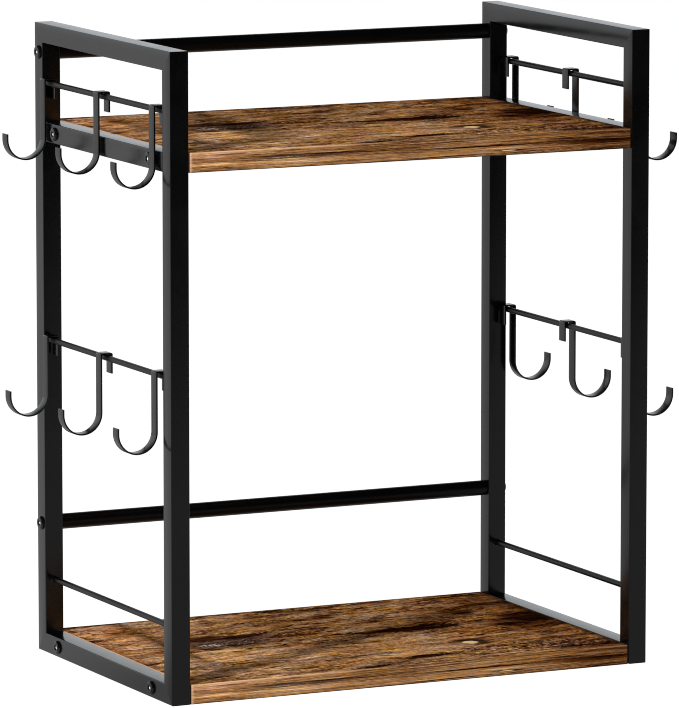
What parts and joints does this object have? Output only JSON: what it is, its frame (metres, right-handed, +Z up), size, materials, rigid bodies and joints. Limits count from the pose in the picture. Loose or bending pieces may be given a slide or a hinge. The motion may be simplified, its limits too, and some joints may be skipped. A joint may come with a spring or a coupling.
{
  "type": "coffee station organizer",
  "caption": "Free-standing two-tier organizer with square tube side frames, wood-effect boards, back rails and sliding strap hooks for mugs.",
  "frame": {"origin": "centre of the footprint, on the surface that it stands on", "axes": "+X to the right seen from the front, +Y to the back, +Z up"},
  "size_m": [0.4684, 0.254, 0.49],
  "materials": {
    "frame_steel": "satin black powder coat",
    "rail_steel": "satin black powder coat",
    "hook_steel": "satin black powder coat",
    "board": "rustic brown wood-effect laminate on particle board",
    "edge_band": "rustic brown wood-effect edge band",
    "bolt_steel": "black oxide",
    "nut_zinc": "zinc plated"
  },
  "bodies": {
    "frame": {"left_front_post": "frame_steel", "left_rear_post": "frame_steel", "left_top_tube": "frame_steel", "left_bottom_tube": "frame_steel", "left_shelf_crossbar": "frame_steel", "left_upper_hook_rod": "frame_steel", "left_middle_hook_rod": "frame_steel", "left_lower_guard_rod": "frame_steel", "right_front_post": "frame_steel", "right_rear_post": "frame_steel", "right_top_tube": "frame_steel", "right_bottom_tube": "frame_steel", "right_shelf_crossbar": "frame_steel", "right_upper_hook_rod": "frame_steel", "right_middle_hook_rod": "frame_steel", "right_lower_guard_rod": "frame_steel", "upper_shelf_board": "board", "upper_shelf_left_edge_band": "edge_band", "upper_shelf_right_edge_band": "edge_band", "upper_shelf_front_edge_band": "edge_band", "upper_shelf_rear_edge_band": "edge_band", "upper_shelf_bolts": "bolt_steel", "upper_shelf_insert_nuts": "nut_zinc", "upper_back_rail": "rail_steel", "upper_back_rail_bolts": "bolt_steel", "upper_back_rail_nuts": "nut_zinc", "lower_shelf_board": "board", "lower_shelf_left_edge_band": "edge_band", "lower_shelf_right_edge_band": "edge_band", "lower_shelf_front_edge_band": "edge_band", "lower_shelf_rear_edge_band": "edge_band", "lower_shelf_bolts": "bolt_steel", "lower_shelf_insert_nuts": "nut_zinc", "lower_back_rail": "rail_steel", "lower_back_rail_bolts": "bolt_steel", "lower_back_rail_nuts": "nut_zinc"},
    "upper_left_hook_1": {"upper_left_hook_1": "hook_steel"},
    "upper_left_hook_2": {"upper_left_hook_2": "hook_steel"},
    "upper_left_hook_3": {"upper_left_hook_3": "hook_steel"},
    "middle_left_hook_1": {"middle_left_hook_1": "hook_steel"},
    "middle_left_hook_2": {"middle_left_hook_2": "hook_steel"},
    "middle_left_hook_3": {"middle_left_hook_3": "hook_steel"},
    "upper_right_hook_1": {"upper_right_hook_1": "hook_steel"},
    "upper_right_hook_2": {"upper_right_hook_2": "hook_steel"},
    "upper_right_hook_3": {"upper_right_hook_3": "hook_steel"},
    "middle_right_hook_1": {"middle_right_hook_1": "hook_steel"},
    "middle_right_hook_2": {"middle_right_hook_2": "hook_steel"},
    "middle_right_hook_3": {"middle_right_hook_3": "hook_steel"}
  },
  "joints": [
    {"name": "upper_left_hook_1_slide", "type": "slide", "parent": "frame", "child": "upper_left_hook_1", "axis": [0, 1, 0], "range_m": [-0.0067, 0.00095]},
    {"name": "upper_left_hook_2_slide", "type": "slide", "parent": "frame", "child": "upper_left_hook_2", "axis": [0, 1, 0], "range_m": [-0.08195, 0.07545]},
    {"name": "upper_left_hook_3_slide", "type": "slide", "parent": "frame", "child": "upper_left_hook_3", "axis": [0, 1, 0], "range_m": [-0.00745, 0.0002]},
    {"name": "middle_left_hook_1_slide", "type": "slide", "parent": "frame", "child": "middle_left_hook_1", "axis": [0, 1, 0], "range_m": [-0.04602, 0.00345]},
    {"name": "middle_left_hook_2_slide", "type": "slide", "parent": "frame", "child": "middle_left_hook_2", "axis": [0, 1, 0], "range_m": [-0.04602, 0.04602]},
    {"name": "middle_left_hook_3_slide", "type": "slide", "parent": "frame", "child": "middle_left_hook_3", "axis": [0, 1, 0], "range_m": [-0.00495, 0.04602]},
    {"name": "upper_right_hook_1_slide", "type": "slide", "parent": "frame", "child": "upper_right_hook_1", "axis": [0, 1, 0], "range_m": [-0.00275, 0.0049]},
    {"name": "upper_right_hook_2_slide", "type": "slide", "parent": "frame", "child": "upper_right_hook_2", "axis": [0, 1, 0], "range_m": [-0.078, 0.0794]},
    {"name": "upper_right_hook_3_slide", "type": "slide", "parent": "frame", "child": "upper_right_hook_3", "axis": [0, 1, 0], "range_m": [-0.0035, 0.00415]},
    {"name": "middle_right_hook_1_slide", "type": "slide", "parent": "frame", "child": "middle_right_hook_1", "axis": [0, 1, 0], "range_m": [-0.04602, 0.0017]},
    {"name": "middle_right_hook_2_slide", "type": "slide", "parent": "frame", "child": "middle_right_hook_2", "axis": [0, 1, 0], "range_m": [-0.04602, 0.04602]},
    {"name": "middle_right_hook_3_slide", "type": "slide", "parent": "frame", "child": "middle_right_hook_3", "axis": [0, 1, 0], "range_m": [-0.0067, 0.04602]}
  ]
}
